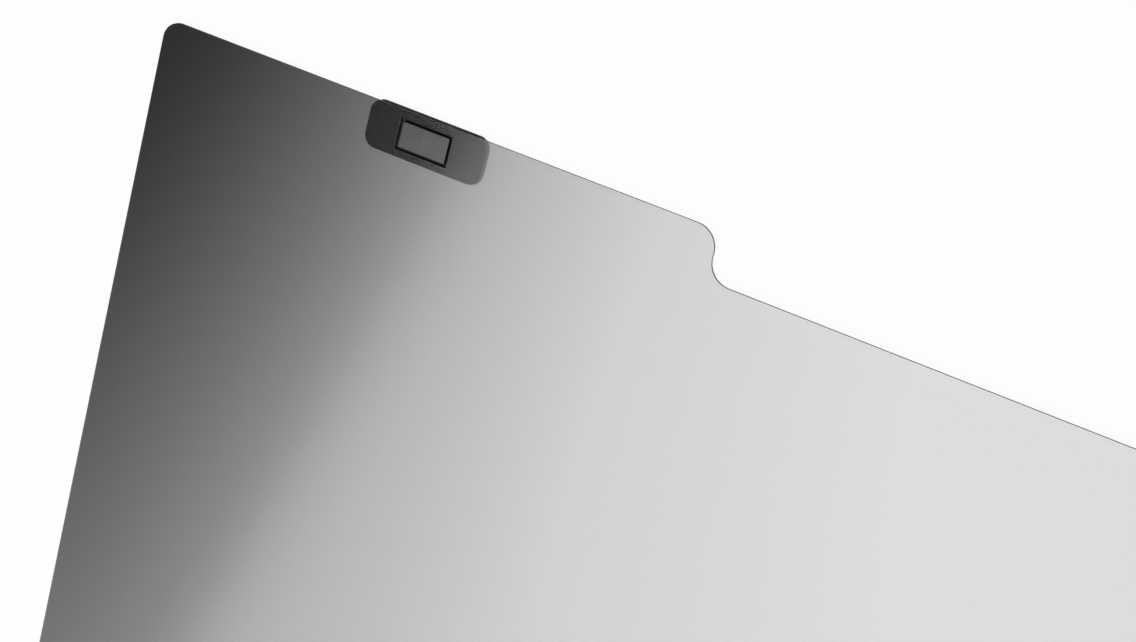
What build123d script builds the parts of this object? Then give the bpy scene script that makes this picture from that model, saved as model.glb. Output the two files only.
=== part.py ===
"""Laptop privacy filter: a lugged louvre-film sheet with two magnet tabs taped behind its top edge.

The filter lies with its screen side up and its lugged edge towards +Y, resting on the tabs' front faces.
"""

import os

from build123d import *

os.makedirs("parts", exist_ok=True)

# Filter sheet, cut to a 15.6-inch wide screen
sheet_width = 344.0
screen_height = 194.0  # from the lower edge to the bottom of the camera notch
lug_height = 9.4  # how far the lugs rise on each side of the camera notch
lug_length = 119.3  # from a side edge to the notch's wall
sheet_thickness = 0.5
corner_radius = 3.6  # the four outer corners
shoulder_radius = 4.4  # the two arcs of the S-curve at each end of the notch

# Magnet, a plated block
magnet_length = 10.0
magnet_width = 5.0
magnet_thickness = 1.0
magnet_corner_radius = 0.25
magnet_edge_radius = 0.12

# Tab, a moulded plate with a shallow magnet pocket in its rear face
tab_length = 25.2
tab_width = 9.4
tab_thickness = 1.2
tab_corner_radius = 2.5
tab_front_radius = 0.2  # the rounded rim of the face that the user sees
tab_overhang = 0.1  # how far the tab stands past the top edge of the lug
tab_from_side = 59.3  # from a side edge of the sheet to the middle of its tab
pocket_depth = 0.25  # leaves the magnet's face about 0.1 proud of the sheet

# Tape that bonds the tab to the sheet
tape_thickness = 0.15
tape_margin = 0.1  # how far the tape stops short of the tab's outline

# Clearances round the magnet
pocket_clearance = 0.1
window_clearance = 0.6
window_radius = 0.4  # the corners of the windows in the sheet and the tape

# Heights, from the front faces of the tabs upwards
tab_rear = tab_thickness
sheet_front = tab_rear + tape_thickness
pocket_floor = tab_rear - pocket_depth

# Places across the sheet
sheet_height = screen_height + lug_height
lower_edge = -(sheet_height + tab_overhang) / 2
top_edge = lower_edge + sheet_height
notch_width = sheet_width - 2 * lug_length
tab_x = sheet_width / 2 - tab_from_side
tab_y = top_edge + tab_overhang - tab_width / 2
tab_sides = {"left": -1, "right": 1}

# Sizes that follow the magnet
pocket_length = magnet_length + 2 * pocket_clearance
pocket_width = magnet_width + 2 * pocket_clearance
pocket_radius = magnet_corner_radius + pocket_clearance
window_length = magnet_length + 2 * window_clearance
window_width = magnet_width + 2 * window_clearance

# A rounding reaches no further than the wall that it lies on
s_curve_radius = min(shoulder_radius, 0.49 * lug_height)
rim_radius = min(tab_front_radius, 0.8 * pocket_floor)

# The sheet: a plate with rounded corners, a camera notch with S-curved ends, and a window for each magnet
with BuildPart() as filter_sheet:
    with BuildSketch(Plane((0, lower_edge, sheet_front))) as outline:
        Rectangle(sheet_width, sheet_height, align=(Align.CENTER, Align.MIN))
        with Locations((0, screen_height)):
            Rectangle(notch_width, lug_height, align=(Align.CENTER, Align.MIN), mode=Mode.SUBTRACT)
        notch_corners = outline.vertices().filter_by(lambda v: abs(v.X) < sheet_width / 4)
        fillet(notch_corners, s_curve_radius)
        outer_corners = outline.vertices().group_by(Axis.X)[0] + outline.vertices().group_by(Axis.X)[-1]
        fillet(outer_corners, corner_radius)
        with Locations(*[(side * tab_x, tab_y - lower_edge) for side in tab_sides.values()]):
            RectangleRounded(window_length, window_width, window_radius, mode=Mode.SUBTRACT)
    extrude(amount=sheet_thickness)
filter_sheet.part.label = "filter_sheet"
export_step(filter_sheet.part, "parts/filter_sheet.step")

for name, side in tab_sides.items():
    middle = (side * tab_x, tab_y)

    # The tab: a rounded plate, its front rim eased, with the pocket that seats the magnet
    with BuildPart() as tab:
        with BuildSketch(Plane((*middle, 0))):
            RectangleRounded(tab_length, tab_width, tab_corner_radius)
        extrude(amount=tab_thickness)
        fillet(tab.faces().sort_by(Axis.Z)[0].edges(), rim_radius)
        with BuildSketch(Plane((*middle, pocket_floor))):
            RectangleRounded(pocket_length, pocket_width, pocket_radius)
        extrude(amount=pocket_depth, mode=Mode.SUBTRACT)
    tab.part.label = f"{name}_tab"
    export_step(tab.part, f"parts/{name}_tab.step")

    # The tape: a die-cut frame inside the tab's outline, open where the magnet passes through
    with BuildPart() as tape:
        with BuildSketch(Plane((*middle, tab_rear))):
            RectangleRounded(
                tab_length - 2 * tape_margin,
                tab_width - 2 * tape_margin,
                tab_corner_radius - tape_margin,
            )
            RectangleRounded(window_length, window_width, window_radius, mode=Mode.SUBTRACT)
        extrude(amount=tape_thickness)
    tape.part.label = f"{name}_tab_tape"
    export_step(tape.part, f"parts/{name}_tab_tape.step")

    # The magnet: a block with eased corners, seated on the pocket's floor and reaching through the window
    with BuildPart() as magnet:
        with BuildSketch(Plane((*middle, pocket_floor))):
            RectangleRounded(magnet_length, magnet_width, magnet_corner_radius)
        extrude(amount=magnet_thickness)
        fillet(magnet.faces().sort_by(Axis.Z)[-1].edges(), magnet_edge_radius)
    magnet.part.label = f"{name}_magnet"
    export_step(magnet.part, f"parts/{name}_magnet.step")
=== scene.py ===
import math

import bmesh
import bpy
from mathutils import Matrix, Vector

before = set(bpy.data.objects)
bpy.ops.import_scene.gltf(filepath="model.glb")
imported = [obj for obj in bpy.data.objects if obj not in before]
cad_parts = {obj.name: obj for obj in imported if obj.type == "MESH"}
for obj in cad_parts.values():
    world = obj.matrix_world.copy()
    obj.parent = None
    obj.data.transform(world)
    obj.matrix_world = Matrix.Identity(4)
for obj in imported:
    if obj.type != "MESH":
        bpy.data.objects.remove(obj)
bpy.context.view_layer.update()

# The camera stands behind the filter's top edge, on its right. All places and sizes are in metres.
CAMERA_PLACE = (0.08097, 0.22176, 0.40395)
CAMERA_AIM = (-0.07594, 0.07537, 0.00185)
PICTURE_TOP = (-0.2727, 0.9621, 0.0)  # the direction that points up in the picture
LENS = 79.29  # in millimetres, as the sensor is
SENSOR_WIDTH = 36.0

# The louvre blades lean this far from the sheet's height, in its own plane.
BLADE_LEAN = math.radians(15.2)
BLADE_ACROSS = Vector((math.cos(BLADE_LEAN), -math.sin(BLADE_LEAN), 0.0))
SHEET_OUT = Vector((0.0, 0.0, 1.0))

# The slope of a look across the blades, and how much of it each face of the film stops.
BLADES_CLOSING = ((0.0, 0.21), (0.2, 0.29), (0.35, 0.53), (0.4, 0.57), (0.65, 0.99))

# The film closes round this slope, and more sharply towards the lugged edge, per metre.
CLOSING_SLOPE = 0.37
CLOSING_SHARPNESS = 6.5

# A look that leaves the film by a cut edge crosses this share fewer of its blades.
EDGE_CLEARING = 0.1

# Hands rub the tab's front rim, from all of it at the lower height to none at the upper one.
RUBBED_ALL = 0.0005
RUBBED_NONE = 0.0008

# The softbox hangs over the filter, turned with the blades; its sides are measured along and across them.
SOFTBOX_LEFT = -0.344
SOFTBOX_RIGHT = 0.250
SOFTBOX_NEAR = -0.620
SOFTBOX_FAR = 0.020
SOFTBOX_HEIGHT = 0.600
SOFTBOX_WATTS = 4.9

# The room goes from pale, low down, to grey, high up; heights are those of a look of length 1.
PALE_HEIGHT = 0.1
PALE_LEVEL = 0.6
GREY_HEIGHT = 0.6
GREY_LEVEL = 0.22

# The floor is white by this share, and takes shadow by the rest.
FLOOR_WHITE_SHARE = 0.95

# Sockets of the Mix node for colours.
MIX_SHARE = 0
MIX_FIRST = 6
MIX_SECOND = 7
MIX_RESULT = 2

NUMBER = "NodeSocketFloat"


def add_node(tree, kind, label, **settings):
    """A new node with its settings."""
    node = tree.nodes.new(kind)
    node.name = label
    node.label = label
    for name, value in settings.items():
        setattr(node, name, value)
    return node


def plug(tree, socket, source):
    """Gives a socket an output of another node or a plain value."""
    if isinstance(source, bpy.types.NodeSocket):
        tree.links.new(source, socket)
    else:
        socket.default_value = source


def feed(tree, node, **sources):
    """Gives sockets, named with _ for a space, what they take."""
    for name, source in sources.items():
        plug(tree, node.inputs[name.replace("_", " ")], source)


def math_node(tree, label, operation, *values):
    """A Math node's output."""
    node = add_node(tree, "ShaderNodeMath", label, operation=operation)
    for socket, value in zip(node.inputs, values):
        plug(tree, socket, value)
    return node.outputs["Value"]


def range_node(tree, label, value, start, end, first, last, smooth=False):
    """A value carried over: first at the start of its range and last at the end."""
    node = add_node(tree, "ShaderNodeMapRange", label)
    node.interpolation_type = "SMOOTHSTEP" if smooth else "LINEAR"
    feed(tree, node, Value=value, From_Min=start, From_Max=end, To_Min=first, To_Max=last)
    return node.outputs["Result"]


def mask_node(tree, label, value, none, full):
    """A mask that is 0 at one value and 1 at another."""
    return range_node(tree, label, value, none, full, 0.0, 1.0)


def mix_value(tree, label, share, first, second):
    """One value going over to another."""
    return range_node(tree, label, share, 0.0, 1.0, first, second)


def mix_colour(tree, label, share, first, second):
    """One colour going over to another."""
    node = add_node(tree, "ShaderNodeMix", label, data_type="RGBA")
    plug(tree, node.inputs[MIX_SHARE], share)
    plug(tree, node.inputs[MIX_FIRST], first)
    plug(tree, node.inputs[MIX_SECOND], second)
    return node.outputs[MIX_RESULT]


def noise_node(tree, label, scale, detail, roughness=0.5):
    """A noise texture's value at a point's place on the filter, with its scale per metre."""
    node = add_node(tree, "ShaderNodeTexNoise", label)
    place = add_node(tree, "ShaderNodeTexCoord", label + "_place").outputs["Object"]
    feed(tree, node, Vector=place, Scale=scale, Detail=detail, Roughness=roughness)
    return node.outputs["Fac"]


def new_group(name, inputs, outputs):
    """A shader node group of numbers: (group, what it is given, its result node)."""
    group = bpy.data.node_groups.new(name, "ShaderNodeTree")
    for label, start in inputs.items():
        socket = group.interface.new_socket(label, in_out="INPUT", socket_type=NUMBER)
        socket.default_value = start
    for label in outputs:
        group.interface.new_socket(label, in_out="OUTPUT", socket_type=NUMBER)
    entry = add_node(group, "NodeGroupInput", "given")
    result = add_node(group, "NodeGroupOutput", "result")
    return group, entry.outputs, result


def place_group(tree, group, label, **sources):
    """A group placed in a material with its own values."""
    node = add_node(tree, "ShaderNodeGroup", label, node_tree=group)
    feed(tree, node, **sources)
    return node.outputs


def make_grain_group():
    """Fine grain over broad, faint unevenness: a tone near 1 and a height."""
    inputs = {"Grain per Metre": 2000.0, "Patches per Metre": 120.0, "Spread": 0.1}
    group, given, result = new_group("moulded_grain", inputs, ("Tone", "Height"))
    fine = noise_node(group, "fine_grain", given["Grain per Metre"], detail=3.0)
    broad = noise_node(group, "broad_patches", given["Patches per Metre"], detail=4.0, roughness=0.6)
    both = math_node(group, "fine_and_broad", "ADD", fine, broad)
    uneven = math_node(group, "uneven", "SUBTRACT", both, 1.0)
    spread = math_node(group, "spread", "MULTIPLY", uneven, given["Spread"])
    feed(group, result, Tone=math_node(group, "tone", "ADD", spread, 1.0), Height=fine)
    return group


def make_wear_group():
    """A mask of the edges that hands rub, broken up by noise."""
    inputs = {"Width": 0.0003, "Breaks per Metre": 900.0}
    group, given, result = new_group("edge_wear", inputs, ("Worn",))
    rounded = add_node(group, "ShaderNodeBevel", "rounded_edges", samples=6)
    feed(group, rounded, Radius=given["Width"])
    plain = add_node(group, "ShaderNodeNewGeometry", "plain_edges").outputs["Normal"]
    turn = add_node(group, "ShaderNodeVectorMath", "edge_turn", operation="DOT_PRODUCT")
    plug(group, turn.inputs[0], rounded.outputs["Normal"])
    plug(group, turn.inputs[1], plain)
    edge = mask_node(group, "edge_mask", turn.outputs["Value"], none=0.99, full=0.8)
    breaks = noise_node(group, "breaks", given["Breaks per Metre"], detail=3.0)
    feed(group, result, Worn=math_node(group, "worn", "MULTIPLY", edge, breaks))
    return group


def make_sides_group():
    """A mask of the walls that stand upright, such as cut edges and the flanks of a block."""
    group, _, result = new_group("side_walls", {}, ("Side",))
    outward = add_node(group, "ShaderNodeNewGeometry", "outward").outputs["Normal"]
    parts = add_node(group, "ShaderNodeSeparateXYZ", "outward_parts")
    feed(group, parts, Vector=outward)
    flatness = math_node(group, "flatness", "ABSOLUTE", parts.outputs["Z"])
    feed(group, result, Side=mask_node(group, "side_mask", flatness, none=0.7, full=0.3))
    return group


def new_material(name):
    """A material with its Principled shader: (material, node tree, shader)."""
    material = bpy.data.materials.new(name)
    material.use_nodes = True
    tree = material.node_tree
    return material, tree, tree.nodes["Principled BSDF"]


def tinted(tree, label, colour, tone):
    """A colour times a tone that changes over the surface."""
    node = add_node(tree, "ShaderNodeVectorMath", label, operation="SCALE")
    plug(tree, node.inputs[0], colour)
    feed(tree, node, Scale=tone)
    return node.outputs["Vector"]


def add_bump(tree, shader, height, strength, distance):
    """Small relief on a surface."""
    bump = add_node(tree, "ShaderNodeBump", "relief")
    feed(tree, bump, Height=height, Strength=strength, Distance=distance)
    feed(tree, shader, Normal=bump.outputs["Normal"])


def place_parts(tree):
    """A point's place on the filter, as separate X, Y and Z outputs."""
    parts = add_node(tree, "ShaderNodeSeparateXYZ", "place_parts")
    feed(tree, parts, Vector=add_node(tree, "ShaderNodeTexCoord", "place").outputs["Object"])
    return parts.outputs


def facing(tree, label, normal):
    """How squarely a surface with this normal is seen: 1 straight on and 0 edge on."""
    weight = add_node(tree, "ShaderNodeLayerWeight", label)
    direction = add_node(tree, "ShaderNodeCombineXYZ", label + "_direction")
    feed(tree, direction, X=normal.x, Y=normal.y, Z=normal.z)
    feed(tree, weight, Blend=0.5, Normal=direction.outputs["Vector"])
    return math_node(tree, label + "_squareness", "SUBTRACT", 1.0, weight.outputs["Facing"])


def slope_across_blades(tree):
    """The slope of a look across the blades, to either side: 0 along them and 1 at 45 degrees."""
    one_way = facing(tree, "one_way_across", (SHEET_OUT + BLADE_ACROSS).normalized())
    other_way = facing(tree, "other_way_across", (SHEET_OUT - BLADE_ACROSS).normalized())
    square = facing(tree, "square_on", SHEET_OUT)
    nearer = math_node(tree, "nearer_way", "MAXIMUM", one_way, other_way)
    ratio = math_node(tree, "slope_ratio", "DIVIDE", nearer, square)
    return math_node(tree, "slope_across", "MULTIPLY_ADD", ratio, math.sqrt(2.0), -1.0)


def blades_closing(tree, slope):
    """How much of a look with this slope each face of the film stops."""
    height = place_parts(tree)["Y"]
    sharpness = math_node(tree, "closing_sharpness", "MULTIPLY_ADD", height, CLOSING_SHARPNESS, 1.0)
    from_closing = math_node(tree, "from_closing_slope", "SUBTRACT", slope, CLOSING_SLOPE)
    sharpened = math_node(
        tree, "sharpened_slope", "MULTIPLY_ADD", from_closing, sharpness, CLOSING_SLOPE
    )
    closing = add_node(tree, "ShaderNodeValToRGB", "blades_closing")
    ramp = closing.color_ramp.elements
    while len(ramp) < len(BLADES_CLOSING):
        ramp.new(0.5)
    for stop, (where, level) in zip(ramp, BLADES_CLOSING):
        stop.position = where
        stop.color = (level, level, level, 1.0)
    feed(tree, closing, Fac=sharpened)
    return closing.outputs["Color"]


def make_louvre_film(grain, sides):
    """Smoky film whose upright blades let light through along them and close across them."""
    material, tree, film = new_material("louvre_film")
    closing = blades_closing(tree, slope_across_blades(tree))

    # The cut edges are dark and solid from outside, and a little clearer than the faces from inside.
    cut_edge = place_group(tree, sides, "cut_edges")["Side"]
    inside = add_node(tree, "ShaderNodeNewGeometry", "seen_from_inside").outputs["Backfacing"]
    way_out = math_node(tree, "way_out", "MULTIPLY", cut_edge, inside)
    dark_edge = math_node(tree, "dark_edge", "SUBTRACT", cut_edge, way_out)
    crossed_share = math_node(tree, "crossed_share", "MULTIPLY_ADD", way_out, -EDGE_CLEARING, 1.0)
    crossed = math_node(tree, "blades_crossed", "MULTIPLY", closing, crossed_share)

    tone = place_group(
        tree, grain, "coating_grain", Grain_per_Metre=4000.0, Patches_per_Metre=25.0, Spread=0.1
    )["Tone"]
    face_colour = tinted(tree, "face_colour", (0.0070, 0.0078, 0.0075), tone)
    edge_colour = tinted(tree, "edge_colour", (0.016, 0.0165, 0.017), tone)
    face_roughness = math_node(tree, "face_roughness", "MULTIPLY", tone, 0.135)
    edge_roughness = math_node(tree, "edge_roughness", "MULTIPLY", cut_edge, 0.75)
    feed(
        tree,
        film,
        Base_Color=mix_colour(tree, "film_colour", cut_edge, face_colour, edge_colour),
        Roughness=math_node(tree, "film_roughness", "MAXIMUM", face_roughness, edge_roughness),
        Specular_IOR_Level=1.0,
        Alpha=math_node(tree, "film_cover", "MAXIMUM", crossed, dark_edge),
    )
    return material


def make_tab_plastic(grain, wear):
    """Dark moulded plastic with a fine grain, its front rim rubbed a little lighter."""
    material, tree, plastic = new_material("tab_plastic")
    uneven = place_group(
        tree, grain, "mould_grain", Grain_per_Metre=2600.0, Patches_per_Metre=90.0, Spread=0.3
    )
    edge = place_group(tree, wear, "rubbed_edges", Width=0.00025, Breaks_per_Metre=700.0)["Worn"]
    front = mask_node(tree, "front_side", place_parts(tree)["Z"], RUBBED_NONE, RUBBED_ALL)
    rubbed = math_node(tree, "rubbed_front", "MULTIPLY", edge, front)
    body = tinted(tree, "body_colour", (0.034, 0.0345, 0.035), uneven["Tone"])
    feed(
        tree,
        plastic,
        Base_Color=mix_colour(tree, "tab_colour", rubbed, body, (0.056, 0.057, 0.058, 1.0)),
        Roughness=mix_value(tree, "tab_roughness", rubbed, 0.7, 0.5),
        Specular_IOR_Level=0.1,
    )
    add_bump(tree, plastic, uneven["Height"], strength=0.35, distance=0.00004)
    return material


def make_tape(grain):
    """Matt black film tape."""
    material, tree, tape = new_material("tab_tape")
    tone = place_group(
        tree, grain, "tape_grain", Grain_per_Metre=5000.0, Patches_per_Metre=300.0, Spread=0.4
    )["Tone"]
    feed(
        tree,
        tape,
        Base_Color=tinted(tree, "tape_colour", (0.0040, 0.0040, 0.0042), tone),
        Roughness=math_node(tree, "tape_roughness", "MULTIPLY", tone, 0.85),
        Specular_IOR_Level=0.1,
    )
    return material


def make_magnet_plating(grain, wear, sides):
    """Dull grey plating, faintly clouded, with brighter worn edges; its upright flanks are painted near
    black, as painted shade in the gap round the magnet.
    """
    material, tree, plating = new_material("magnet_plating")
    uneven = place_group(
        tree, grain, "plating_grain", Grain_per_Metre=3500.0, Patches_per_Metre=260.0, Spread=0.8
    )
    worn = place_group(tree, wear, "worn_edges", Width=0.0002, Breaks_per_Metre=1200.0)["Worn"]
    # Painted shade: the upright flanks, which stand in the narrow gap round the magnet, are painted near
    # black, matt and not metal.
    painted_shade_flank = place_group(tree, sides, "painted_shade_flanks")["Side"]
    dull = tinted(tree, "dull_colour", (0.080, 0.080, 0.0815), uneven["Tone"])
    face = mix_colour(tree, "face_colour", worn, dull, (0.11, 0.11, 0.112, 1.0))
    metal = mix_value(tree, "face_metal", worn, 0.55, 0.9)
    face_roughness = math_node(tree, "face_roughness", "MULTIPLY", uneven["Tone"], 0.4)
    # On the flanks the colour goes near black, the metal off and the roughness to full, as painted shade
    # in the gap.
    feed(
        tree,
        plating,
        Base_Color=mix_colour(tree, "plating_colour", painted_shade_flank, face, (0.004, 0.004, 0.004, 1.0)),
        Metallic=mix_value(tree, "plating_metal", painted_shade_flank, metal, 0.0),
        Roughness=math_node(tree, "plating_roughness", "MAXIMUM", face_roughness, painted_shade_flank),
        Specular_IOR_Level=0.2,
    )
    add_bump(tree, plating, uneven["Height"], strength=0.2, distance=0.00002)
    return material


def dress(material, *names):
    """Gives CAD nodes their material."""
    for name in names:
        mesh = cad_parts[name].data
        mesh.materials.clear()
        mesh.materials.append(material)


def make_floor():
    """A white studio floor that turns up into a round wall, far from the filter."""
    flat_radius = 3.0
    turn_radius = 1.2
    steps_up = 12
    steps_round = 96
    weld_distance = 0.0001
    profile = [(0.0, 0.0)]
    for step in range(steps_up + 1):
        angle = math.pi / 2 * step / steps_up
        radius = flat_radius + turn_radius * math.sin(angle)
        profile.append((radius, turn_radius * (1 - math.cos(angle))))
    shape = bmesh.new()
    line = [shape.verts.new((radius, 0.0, height)) for radius, height in profile]
    edges = [shape.edges.new(pair) for pair in zip(line, line[1:])]
    bmesh.ops.spin(
        shape,
        geom=line + edges,
        axis=(0.0, 0.0, 1.0),
        cent=(0.0, 0.0, 0.0),
        steps=steps_round,
        angle=2 * math.pi,
        use_duplicate=False,
    )
    bmesh.ops.remove_doubles(shape, verts=shape.verts, dist=weld_distance)
    for face in shape.faces:
        face.smooth = True
    mesh = bpy.data.meshes.new("studio_floor")
    shape.to_mesh(mesh)
    shape.free()
    floor = bpy.data.objects.new("studio_floor", mesh)
    bpy.context.scene.collection.objects.link(floor)
    mesh.materials.append(make_floor_paint())


def make_floor_paint():
    """White to the eye, in mirrors and through film, and pale paint to the lamps, with a light shadow."""
    material, tree, paint = new_material("floor_paint")
    feed(tree, paint, Base_Color=(0.86, 0.86, 0.86, 1.0), Roughness=0.9)
    glow = add_node(tree, "ShaderNodeEmission", "white_ground")
    feed(tree, glow, Color=(1.0, 1.0, 1.0, 1.0), Strength=1.0)
    path = add_node(tree, "ShaderNodeLightPath", "seen_by").outputs
    seen = math_node(tree, "seen_or_mirrored", "MAXIMUM", path["Is Camera Ray"], path["Is Glossy Ray"])
    shown = math_node(tree, "or_through_film", "MAXIMUM", seen, path["Is Transmission Ray"])
    share = math_node(tree, "white_share", "MULTIPLY", shown, FLOOR_WHITE_SHARE)
    ground = add_node(tree, "ShaderNodeMixShader", "ground")
    plug(tree, ground.inputs["Fac"], share)
    plug(tree, ground.inputs[1], paint.outputs["BSDF"])
    plug(tree, ground.inputs[2], glow.outputs["Emission"])
    feed(tree, tree.nodes["Material Output"], Surface=ground.outputs["Shader"])
    return material


def make_room():
    """A grey room, paler near the floor."""
    world = bpy.data.worlds.new("studio_room")
    world.use_nodes = True
    tree = world.node_tree
    look = add_node(tree, "ShaderNodeSeparateXYZ", "look")
    feed(tree, look, Vector=add_node(tree, "ShaderNodeTexCoord", "way").outputs["Generated"])
    grey = range_node(
        tree,
        "room_grey",
        look.outputs["Z"],
        PALE_HEIGHT,
        GREY_HEIGHT,
        PALE_LEVEL,
        GREY_LEVEL,
        smooth=True,
    )
    feed(tree, tree.nodes["Background"], Color=(1.0, 1.0, 1.0, 1.0), Strength=grey)
    bpy.context.scene.world = world


def make_softbox():
    """One large softbox, whose left edge the film mirrors beside the tab."""
    softbox = bpy.data.lights.new("softbox", "AREA")
    softbox.shape = "RECTANGLE"
    softbox.size = SOFTBOX_RIGHT - SOFTBOX_LEFT
    softbox.size_y = SOFTBOX_FAR - SOFTBOX_NEAR
    softbox.energy = SOFTBOX_WATTS
    holder = bpy.data.objects.new("softbox", softbox)
    middle_x = (SOFTBOX_LEFT + SOFTBOX_RIGHT) / 2
    middle_y = (SOFTBOX_NEAR + SOFTBOX_FAR) / 2
    middle = Vector((middle_x, middle_y, SOFTBOX_HEIGHT))
    holder.matrix_world = Matrix.Rotation(-BLADE_LEAN, 4, "Z") @ Matrix.Translation(middle)
    bpy.context.scene.collection.objects.link(holder)


def make_camera():
    """The camera at the photograph's place."""
    place = Vector(CAMERA_PLACE)
    back = (place - Vector(CAMERA_AIM)).normalized()
    right = Vector(PICTURE_TOP).cross(back).normalized()
    up = back.cross(right)
    camera = bpy.data.cameras.new("photo_camera")
    camera.sensor_fit = "HORIZONTAL"
    camera.sensor_width = SENSOR_WIDTH
    camera.lens = LENS
    camera.clip_start = 0.01
    camera.clip_end = 50.0
    holder = bpy.data.objects.new("photo_camera", camera)
    holder.matrix_world = Matrix.Translation(place) @ Matrix((right, up, back)).transposed().to_4x4()
    bpy.context.scene.collection.objects.link(holder)
    bpy.context.scene.camera = holder


grain = make_grain_group()
wear = make_wear_group()
sides = make_sides_group()
dress(make_louvre_film(grain, sides), "filter_sheet")
dress(make_tab_plastic(grain, wear), "left_tab", "right_tab")
dress(make_tape(grain), "left_tab_tape", "right_tab_tape")
dress(make_magnet_plating(grain, wear, sides), "left_magnet", "right_magnet")
make_floor()
make_room()
make_softbox()
make_camera()
bpy.context.scene.view_settings.view_transform = "Standard"
